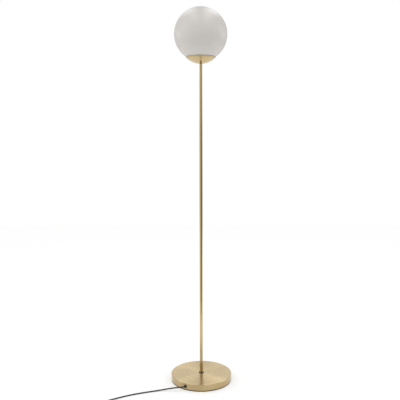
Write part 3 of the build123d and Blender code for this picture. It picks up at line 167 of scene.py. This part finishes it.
def flex(name, route):
    """A round cord on a NURBS spline with the route's points as its control points."""
    curve = bpy.data.curves.new(name, "CURVE")
    curve.dimensions = "3D"
    curve.resolution_u = 8
    curve.bevel_depth = 1.0
    curve.bevel_resolution = 5
    curve.use_fill_caps = True
    spline = curve.splines.new("NURBS")
    spline.points.add(len(route) - 1)
    spline.points.foreach_set("co", np.array([(*p, 1.0) for p in route], np.float32).ravel())
    spline.points.foreach_set("radius", np.full(len(route), CORD_DIAMETER / 2, np.float32))
    spline.order_u = 3
    spline.use_endpoint_u = True
    spline.use_smooth = True
    cord = bpy.data.objects.new(name, curve)
    scene.collection.objects.link(cord)
    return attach(cord, "lamp")


lamp_cord = flex("flex_lamp_to_switch", lamp_side_route)
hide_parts("cord_lamp_side")
plug_cord = flex("flex_switch_to_plug", plug_side_route)
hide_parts("cord_plug_side", "cord_coil", "cord_plug_end")

# ---------------------------------------------------------------- shader nodes as expressions


class Value:
    """A number that varies over a surface: arithmetic on it adds Math nodes to its finish."""

    def __init__(self, finish, socket):
        self.finish = finish
        self.socket = socket

    def _math(self, operation, first, second):
        made = self.finish.node("ShaderNodeMath", {"operation": operation}, {0: first, 1: second})
        return Value(self.finish, made.outputs[0])

    def __add__(self, other):
        return self._math("ADD", self, other)

    __radd__ = __add__

    def __sub__(self, other):
        return self._math("SUBTRACT", self, other)

    def __rsub__(self, other):
        return self._math("SUBTRACT", other, self)

    def __mul__(self, other):
        return self._math("MULTIPLY", self, other)

    __rmul__ = __mul__

    def __pow__(self, other):
        return self._math("POWER", self, other)

    def clamp(self):
        """The number kept between 0 and 1."""
        return self._math("MAXIMUM", self._math("MINIMUM", self, 1.0), 0.0)

    def smooth(self, low, high):
        """0 below low, 1 above high and an eased step between them."""
        made = self.finish.node(
            "ShaderNodeMapRange",
            {"interpolation_type": "SMOOTHSTEP"},
            {"Value": self, "From Min": low, "From Max": high},
        )
        return Value(self.finish, made.outputs[0])


class Finish:
    """One material, built from nodes that are added by name."""

    def __init__(self, name):
        self.data = bpy.data.materials.new(name)
        self.data.use_nodes = True
        self.tree = self.data.node_tree
        self.surface = self.tree.nodes["Principled BSDF"]

    def node(self, kind, settings=None, inputs=None):
        """Adds a node: its settings come first, then the values or links of its sockets."""
        made = self.tree.nodes.new(kind)
        for key, value in (settings or {}).items():
            setattr(made, key, value)
        for key, value in (inputs or {}).items():
            self.put(made.inputs[key], value)
        return made

    def put(self, socket, value):
        """Links a value to a socket, or sets the socket to a plain number or colour."""
        if isinstance(value, Value):
            value = value.socket
        if isinstance(value, bpy.types.NodeSocket):
            self.tree.links.new(value, socket)
        else:
            socket.default_value = value

    def set(self, **sockets):
        """Sets the surface shader's own sockets; an underscore in a name stands for a space."""
        for key, value in sockets.items():
            self.put(self.surface.inputs[key.replace("_", " ")], value)

    def place(self):
        """x, y and z of the point on the piece."""
        spot = self.node("ShaderNodeTexCoord").outputs["Object"]
        parts = self.node("ShaderNodeSeparateXYZ", None, {0: spot})
        return [Value(self, parts.outputs[i]) for i in range(3)]

    def noise(self, x, y, z, detail=2.0):
        """Noise from 0 to 1 at the place x, y, z, each already scaled to the pattern's size."""
        at = self.node("ShaderNodeCombineXYZ", None, {0: x, 1: y, 2: z})
        made = self.node(
            "ShaderNodeTexNoise",
            None,
            {"Vector": at.outputs[0], "Scale": 1.0, "Detail": detail, "Roughness": 0.5},
        )
        return Value(self, made.outputs["Fac"])

    def mix(self, share, low, high):
        """A colour between two others."""
        made = self.node("ShaderNodeMix", {"data_type": "RGBA"}, {0: share, 6: low, 7: high})
        return made.outputs[2]

    def bump(self, height, strength, distance):
        """Lets a height roughen the surface."""
        made = self.node(
            "ShaderNodeBump", None, {"Height": height, "Strength": strength, "Distance": distance}
        )
        self.set(Normal=made.outputs["Normal"])


def rgb(red, green, blue):
    """An opaque colour from its linear red, green and blue."""
    return (red, green, blue, 1.0)


# ---------------------------------------------------------------- finishes

# Painted shade and reflection on the brass: painted shade on the base's side wall, a painted shadow line at
# its bottom edge, a painted dark reflection towards the cup's rim and painted shade at the foot of the pole.
PAINTED_WALL_SHADE_DARK = rgb(0.46, 0.345, 0.175)
PAINTED_WALL_SHADE_LIGHT = rgb(0.56, 0.425, 0.222)
PAINTED_SHADOW_LINE = rgb(0.08, 0.06, 0.036)
PAINTED_RIM_REFLECTION = rgb(0.46, 0.34, 0.165)
PAINTED_POLE_FOOT_SHADE = rgb(0.40, 0.30, 0.15)
# Where they begin, and how far each takes to fade into the next tone.
WALL_SHADE_INSET = 0.0004
SHADOW_LINE_HEIGHT = 0.0045
WALL_SHADE_FADE = 0.0008
SHADOW_LINE_FADE = 0.0012
RIM_REFLECTION_FADE = 0.009
POLE_SHADE_FROM = 0.03
POLE_SHADE_TO = 0.20

# Scales of the patterns, in cells of noise per metre: across the brass's lines, along them, and of the slower
# clouds of tone.
LATHE_LINES = 1400.0
LATHE_ALONG = 6.0
LATHE_RINGS = 210.0
LATHE_CLOUDS = 9.0
DRAWN_LINES = 2600.0
DRAWN_ALONG = 14.0
TUBE_CLOUDS = 30.0
TUBE_ALONG = 4.0
OPAL_CLOUDS = 16.0
OPAL_GRAIN = 900.0
SLOW_CLOUDS = 45.0

TUBE_DARK = rgb(0.555, 0.420, 0.208)
TUBE_LIGHT = rgb(0.630, 0.490, 0.255)
OPAL_DARK = rgb(0.68, 0.652, 0.612)
OPAL_LIGHT = rgb(0.70, 0.672, 0.632)
# A quarter turn, so that the spread of highlights runs across the lathe's lines.
RADIAL_SPREAD = 0.25
POLE_GLOSS = 0.16
# How far the roughness of brass ranges, and the height of a grain as a share of its size.
GLOSS_SPREAD = 0.06
GRAIN_HEIGHT = 0.15


def spun_brass(name, dark, light, gloss, spread, groove, foot=None, wall=None, rim=None):
    """Lacquered brass with fine lines round its axis, as the lathe leaves them, between two tones.

    Below the height foot, if one is given, a painted shadow line darkens the edge. Painted shade darkens
    the metal outside the radius wall, and a painted dark reflection towards the height rim, if they are
    given."""
    metal = Finish(name)
    x, y, z = metal.place()
    across = (x * x + y * y) ** 0.5
    lines = metal.noise(across * LATHE_LINES, z * LATHE_LINES, x * LATHE_ALONG, detail=3.0)
    broad = metal.noise(x * LATHE_CLOUDS, y * LATHE_CLOUDS, z * LATHE_CLOUDS)
    rings = metal.noise(across * LATHE_RINGS, z * LATHE_RINGS, 0.0, detail=1.0)
    tone = (lines * 0.45 + broad * 0.30 + rings * 0.25).smooth(0.32, 0.68)
    colour = metal.mix(tone, dark, light)
    if wall is not None:
        # Painted shade: outside the radius wall the brass takes darker, shaded tones.
        painted_wall_shade = metal.mix(tone, PAINTED_WALL_SHADE_DARK, PAINTED_WALL_SHADE_LIGHT)
        colour = metal.mix(across.smooth(wall - WALL_SHADE_FADE, wall), colour, painted_wall_shade)
    if foot is not None:
        # Painted shadow line: below the height foot the brass turns nearly black.
        colour = metal.mix(z.smooth(foot - SHADOW_LINE_FADE, foot), PAINTED_SHADOW_LINE, colour)
    if rim is not None:
        # Painted dark reflection: towards the height rim the brass darkens.
        colour = metal.mix(z.smooth(rim - RIM_REFLECTION_FADE, rim), colour, PAINTED_RIM_REFLECTION)
    metal.set(
        Base_Color=colour,
        Metallic=1.0,
        Roughness=lines * GLOSS_SPREAD + (gloss - GLOSS_SPREAD / 2),
        Anisotropic=spread,
        Anisotropic_Rotation=RADIAL_SPREAD,
        Coat_Weight=0.3,
        Coat_Roughness=0.12,
    )
    metal.bump(lines, 1.0, groove)
    return metal.data


def drawn_brass_with_painted_shade():
    """Lacquered brass tube with faint lines along its length, and painted shade that darkens it near its
    foot.
    """
    metal = Finish("drawn_brass_with_painted_shade")
    x, y, z = metal.place()
    lines = metal.noise(x * DRAWN_LINES, y * DRAWN_LINES, z * DRAWN_ALONG, detail=2.0)
    broad = metal.noise(x * TUBE_CLOUDS, y * TUBE_CLOUDS, z * TUBE_ALONG)
    tone = (lines * 0.4 + broad * 0.6).smooth(0.3, 0.7)
    colour = metal.mix(tone, TUBE_DARK, TUBE_LIGHT)
    # Painted shade: the tube darkens towards its foot.
    colour = metal.mix(z.smooth(POLE_SHADE_FROM, POLE_SHADE_TO), PAINTED_POLE_FOOT_SHADE, colour)
    metal.set(
        Base_Color=colour,
        Metallic=1.0,
        Roughness=lines * GLOSS_SPREAD + (POLE_GLOSS - GLOSS_SPREAD / 2),
        Coat_Weight=0.3,
        Coat_Roughness=0.08,
    )
    return metal.data


def opal_glass():
    """Etched white glass: matt, with faint clouds, a fine grain and a soft sheen from a clear coat."""
    glass = Finish("opal_glass")
    x, y, z = glass.place()
    cloud = glass.noise(x * OPAL_CLOUDS, y * OPAL_CLOUDS, z * OPAL_CLOUDS, detail=3.0)
    grain = glass.noise(x * OPAL_GRAIN, y * OPAL_GRAIN, z * OPAL_GRAIN, detail=1.0)
    colour = glass.mix(cloud.smooth(0.35, 0.65), OPAL_DARK, OPAL_LIGHT)
    glass.set(Base_Color=colour, Roughness=grain * 0.05 + 0.4, IOR=1.5, Coat_Weight=0.6, Coat_Roughness=0.3)
    glass.bump(grain, 0.03, 0.0002)
    return glass.data


def plain(name, colour, roughness, metallic=0.0, grain_size=0.0012, depth=0.15, wear=0.12, coat=0.0):
    """One colour with a fine grain of the given size, and a slow change of tone and gloss over the piece."""
    finish = Finish(name)
    x, y, z = finish.place()
    fine = 1.0 / grain_size
    grain = finish.noise(x * fine, y * fine, z * fine, detail=2.0)
    slow = finish.noise(x * SLOW_CLOUDS, y * SLOW_CLOUDS, z * SLOW_CLOUDS)
    tone = (grain * 0.5 + slow * 0.5).smooth(0.25, 0.75)
    dark = rgb(*[c * (1 - wear) for c in colour])
    light = rgb(*[min(1.0, c * (1 + wear)) for c in colour])
    finish.set(
        Base_Color=finish.mix(tone, dark, light),
        Metallic=metallic,
        Roughness=slow * 0.1 + (roughness - 0.05),
        Coat_Weight=coat,
    )
    finish.bump(grain, depth, grain_size * GRAIN_HEIGHT)
    return finish.data


finishes = {
    "brass": spun_brass(
        "spun_brass_base_with_painted_shade",
        rgb(0.560, 0.425, 0.220),
        rgb(0.675, 0.525, 0.284),
        gloss=0.22,
        spread=1.0,
        groove=0.00018,
        # Painted shadow line at the base's bottom edge.
        foot=SHADOW_LINE_HEIGHT,
        # Painted shade on the base's side wall.
        wall=base_radius - WALL_SHADE_INSET,
    ),
    "opal_glass": opal_glass(),
    "black_rubber": plain("black_rubber", (0.022, 0.022, 0.023), roughness=0.6),
    "clear_gasket": plain("milky_gasket", (0.62, 0.60, 0.56), roughness=0.45),
    "zinc_steel": plain(
        "zinc_plated_steel", (0.58, 0.59, 0.61), roughness=0.32, metallic=1.0, grain_size=0.0006
    ),
    "spring_steel": plain(
        "spring_steel", (0.42, 0.43, 0.45), roughness=0.28, metallic=1.0, grain_size=0.0005
    ),
    "black_plastic": plain(
        "black_moulding", (0.020, 0.020, 0.021), roughness=0.38, grain_size=0.0005, depth=0.1
    ),
    "white_plastic": plain(
        "white_moulding", (0.78, 0.78, 0.76), roughness=0.4, grain_size=0.0006, depth=0.06, wear=0.03
    ),
    "ceramic_white": plain(
        "white_ceramic", (0.76, 0.74, 0.70), roughness=0.3, grain_size=0.0015, depth=0.1, wear=0.04, coat=0.3
    ),
    "bare_brass": plain(
        "plain_brass", (0.72, 0.56, 0.28), roughness=0.28, metallic=1.0, grain_size=0.0008, depth=0.1
    ),
    "bulb_diffuser": plain(
        "frosted_dome", (0.86, 0.86, 0.83), roughness=0.5, grain_size=0.0008, depth=0.05, wear=0.02
    ),
    "board": plain(
        "white_board", (0.80, 0.80, 0.78), roughness=0.45, grain_size=0.0008, depth=0.05, wear=0.03
    ),
    "bulb_cap_metal": plain(
        "bulb_cap_metal", (0.70, 0.70, 0.69), roughness=0.3, metallic=1.0, grain_size=0.0008, depth=0.1
    ),
    "black_glass": plain(
        "black_cap_glass", (0.030, 0.022, 0.030), roughness=0.15, grain_size=0.002, depth=0.05
    ),
    "cast_iron": plain(
        "cast_iron", (0.10, 0.10, 0.105), roughness=0.7, metallic=0.6, grain_size=0.002, depth=0.6
    ),
    "collar_bronze": plain(
        "dark_bronze", (0.16, 0.125, 0.085), roughness=0.35, metallic=1.0, grain_size=0.0006, depth=0.1
    ),
    "plate_steel": plain(
        "black_lacquer_steel", (0.025, 0.025, 0.026), roughness=0.4, grain_size=0.001, depth=0.15
    ),
    "foam": plain("black_foam", (0.020, 0.020, 0.020), roughness=0.85, grain_size=0.0008, depth=0.7),
    "cord_black": plain("black_flex", (0.018, 0.018, 0.019), roughness=0.42, grain_size=0.0006, depth=0.08),
    "core_brown": plain("brown_core", (0.16, 0.075, 0.03), roughness=0.4),
    "core_blue": plain("blue_core", (0.03, 0.13, 0.42), roughness=0.4),
}


def wear_finish(piece, finish):
    """Gives the whole piece one finish."""
    piece.data.materials.clear()
    piece.data.materials.append(finish)


for row in frame["record"]["subparts"]:
    wear_finish(nodes[row["node"]], finishes[row["material_slot"]])
wear_finish(
    nodes["globe_cup"],
    spun_brass(
        "spun_brass_cup_with_painted_reflection",
        rgb(0.525, 0.405, 0.212),
        rgb(0.620, 0.490, 0.268),
        gloss=0.24,
        spread=0.6,
        groove=0.00004,
        # Painted dark reflection towards the cup's rim.
        rim=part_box("globe_cup")[1][2],
    ),
)
tube_brass_with_painted_shade = drawn_brass_with_painted_shade()
for name in ("pole_top_section", "pole_middle_section", "pole_bottom_section"):
    wear_finish(nodes[name], tube_brass_with_painted_shade)
for cord in (lamp_cord, plug_cord):
    wear_finish(cord, finishes["cord_black"])

# ---------------------------------------------------------------- floor, world and lamps


def sheet_mesh(name, low, high):
    """A flat rectangle between two corners."""
    mesh = bpy.data.meshes.new(name)
    (x0, y0, z), (x1, y1, _) = low, high
    mesh.from_pydata([(x0, y0, z), (x1, y0, z), (x1, y1, z), (x0, y1, z)], [], [(0, 1, 2, 3)])
    piece = bpy.data.objects.new(name, mesh)
    scene.collection.objects.link(piece)
    return piece


FLOOR_SIDE = 3.0
FLOOR_FRONT = -0.80
FLOOR_BACK = 4.0
PAPER_TONE = 0.80
FLOOR_GLOW = 0.36
floor = sheet_mesh("studio_floor", (-FLOOR_SIDE, FLOOR_FRONT, 0.0), (FLOOR_SIDE, FLOOR_BACK, 0.0))


def background_rays(finish):
    """Two values: 1 for camera rays, and 1 for all that see the background, also by way of metal or glass."""
    kinds = ("Is Camera Ray", "Is Glossy Ray", "Is Transmission Ray")
    path = finish.node("ShaderNodeLightPath")
    camera_ray, glossy_ray, through_ray = (Value(finish, path.outputs[kind]) for kind in kinds)
    return camera_ray, (camera_ray + glossy_ray + through_ray).clamp()


paper = Finish("white_paper")
paper.set(Base_Color=rgb(PAPER_TONE, PAPER_TONE, PAPER_TONE), Roughness=0.9, Specular_IOR_Level=0.0)
_, seen = background_rays(paper)
matt = paper.surface.outputs[0]
glow = paper.node("ShaderNodeEmission", None, {"Color": rgb(1, 1, 1), "Strength": FLOOR_GLOW})
both = paper.node("ShaderNodeAddShader", None, {0: matt, 1: glow.outputs[0]})
choice = paper.node("ShaderNodeMixShader", None, {0: seen, 1: matt, 2: both.outputs[0]})
paper.put(paper.tree.nodes["Material Output"].inputs["Surface"], choice.outputs[0])
paper.data.cycles.emission_sampling = "NONE"
floor.data.materials.append(paper.data)

world = bpy.data.worlds.new("studio")
scene.world = world
world.use_nodes = True
world.cycles.sampling_method = "NONE"


class Sky(Finish):
    """The world's own nodes, with the same ways of adding to them."""

    def __init__(self, data):
        self.tree = data.node_tree
        self.surface = self.tree.nodes["Background"]


# Levels of what metal sees: a backdrop behind the lamp that is white in its middle and greyer at its sides,
# a dark room in front that is lighter above the horizon, a ceiling, a screen on each side and a small box of
# light high on each side. What lights matt surfaces is nearly the same from all sides.
ROOM = 0.27
ROOM_ABOVE = 0.50
CEILING = 0.62
SCREEN = 1.25
BACKDROP_SIDE = 0.60
LEFT_BOX = 1.95
RIGHT_BOX = 2.6
EVEN_LIGHT = 0.80
LEFT_LIGHT = 0.22
RIGHT_LIGHT = 0.19
TOP_DROP = 0.10
# The backdrop reaches less far round on the right, by this share of the way across.
BACKDROP_TURN = 0.35


def studio_seen(across, along, up):
    """The level that metal sees in a direction: across is to the right, along is away from the camera.

    Each eased step runs from where a sheet, a screen or a box begins to where it is full."""
    aside = (across * across) ** 0.5
    behind = (along - across.clamp() * BACKDROP_TURN).smooth(-0.15, 0.30)
    ceiling = up.smooth(0.30, 0.75)
    left_screen = (0 - across).smooth(0.55, 0.80) * up.smooth(-0.45, -0.15)
    right_screen = across.smooth(0.80, 0.94) * up.smooth(0.05, 0.30)
    boxes = aside.smooth(0.10, 0.24) * (1 - aside.smooth(0.45, 0.60)) * up.smooth(0.50, 0.66)
    box_level = across.smooth(-0.1, 0.1) * (RIGHT_BOX - LEFT_BOX) + LEFT_BOX
    backdrop = 1 - aside.smooth(0.05, 0.45) * (1 - BACKDROP_SIDE)
    backdrop = ceiling * (CEILING - backdrop) + backdrop
    room = up.smooth(-0.04, 0.12) * (ROOM_ABOVE - ROOM) + ROOM
    room = ceiling * (CEILING - room) + room
    room = left_screen * (SCREEN - room) + room
    room = right_screen * (SCREEN - room) + room
    studio = behind * (backdrop - room) + room
    return boxes * (box_level - studio) + studio


def studio_light(across, up):
    """The level that lights matt surfaces: even, with a little more from the sides and less from above."""
    sides = (0 - across).smooth(0.3, 1.0) * LEFT_LIGHT + across.smooth(0.6, 1.0) * RIGHT_LIGHT
    return sides + EVEN_LIGHT - up.smooth(0.2, 1.0) * TOP_DROP


sky = Sky(world)
camera_ray, background = background_rays(sky)
direction = sky.node("ShaderNodeTexCoord").outputs["Generated"]
parts = sky.node("ShaderNodeSeparateXYZ", None, {0: direction})
across, along, up = (Value(sky, parts.outputs[i]) for i in range(3))
seen_level = camera_ray + (1 - camera_ray) * studio_seen(across, along, up)
level = background * seen_level + (1 - background) * studio_light(across, up)
sky.set(Color=rgb(1, 1, 1), Strength=level)


def softbox(name, place, aim, size, power):
    """A rectangular lamp that faces a point."""
    data = bpy.data.lights.new(name, "AREA")
    data.shape = "RECTANGLE"
    data.size, data.size_y = size
    data.energy = power
    lamp = bpy.data.objects.new(name, data)
    lamp.location = place
    lamp.rotation_euler = (Vector(aim) - Vector(place)).to_track_quat("-Z", "Y").to_euler()
    scene.collection.objects.link(lamp)


softbox("overhead", place=(0.0, -0.2, 3.0), aim=(0.0, 0.0, 0.0), size=(2.2, 2.2), power=2.0)
softbox("left_floor_box", place=(-1.7, 0.5, 1.3), aim=(-1.2, 0.5, 0.0), size=(0.6, 1.2), power=3.0)
softbox("right_floor_box", place=(1.8, 0.6, 1.3), aim=(1.3, 0.6, 0.0), size=(0.6, 1.2), power=3.0)
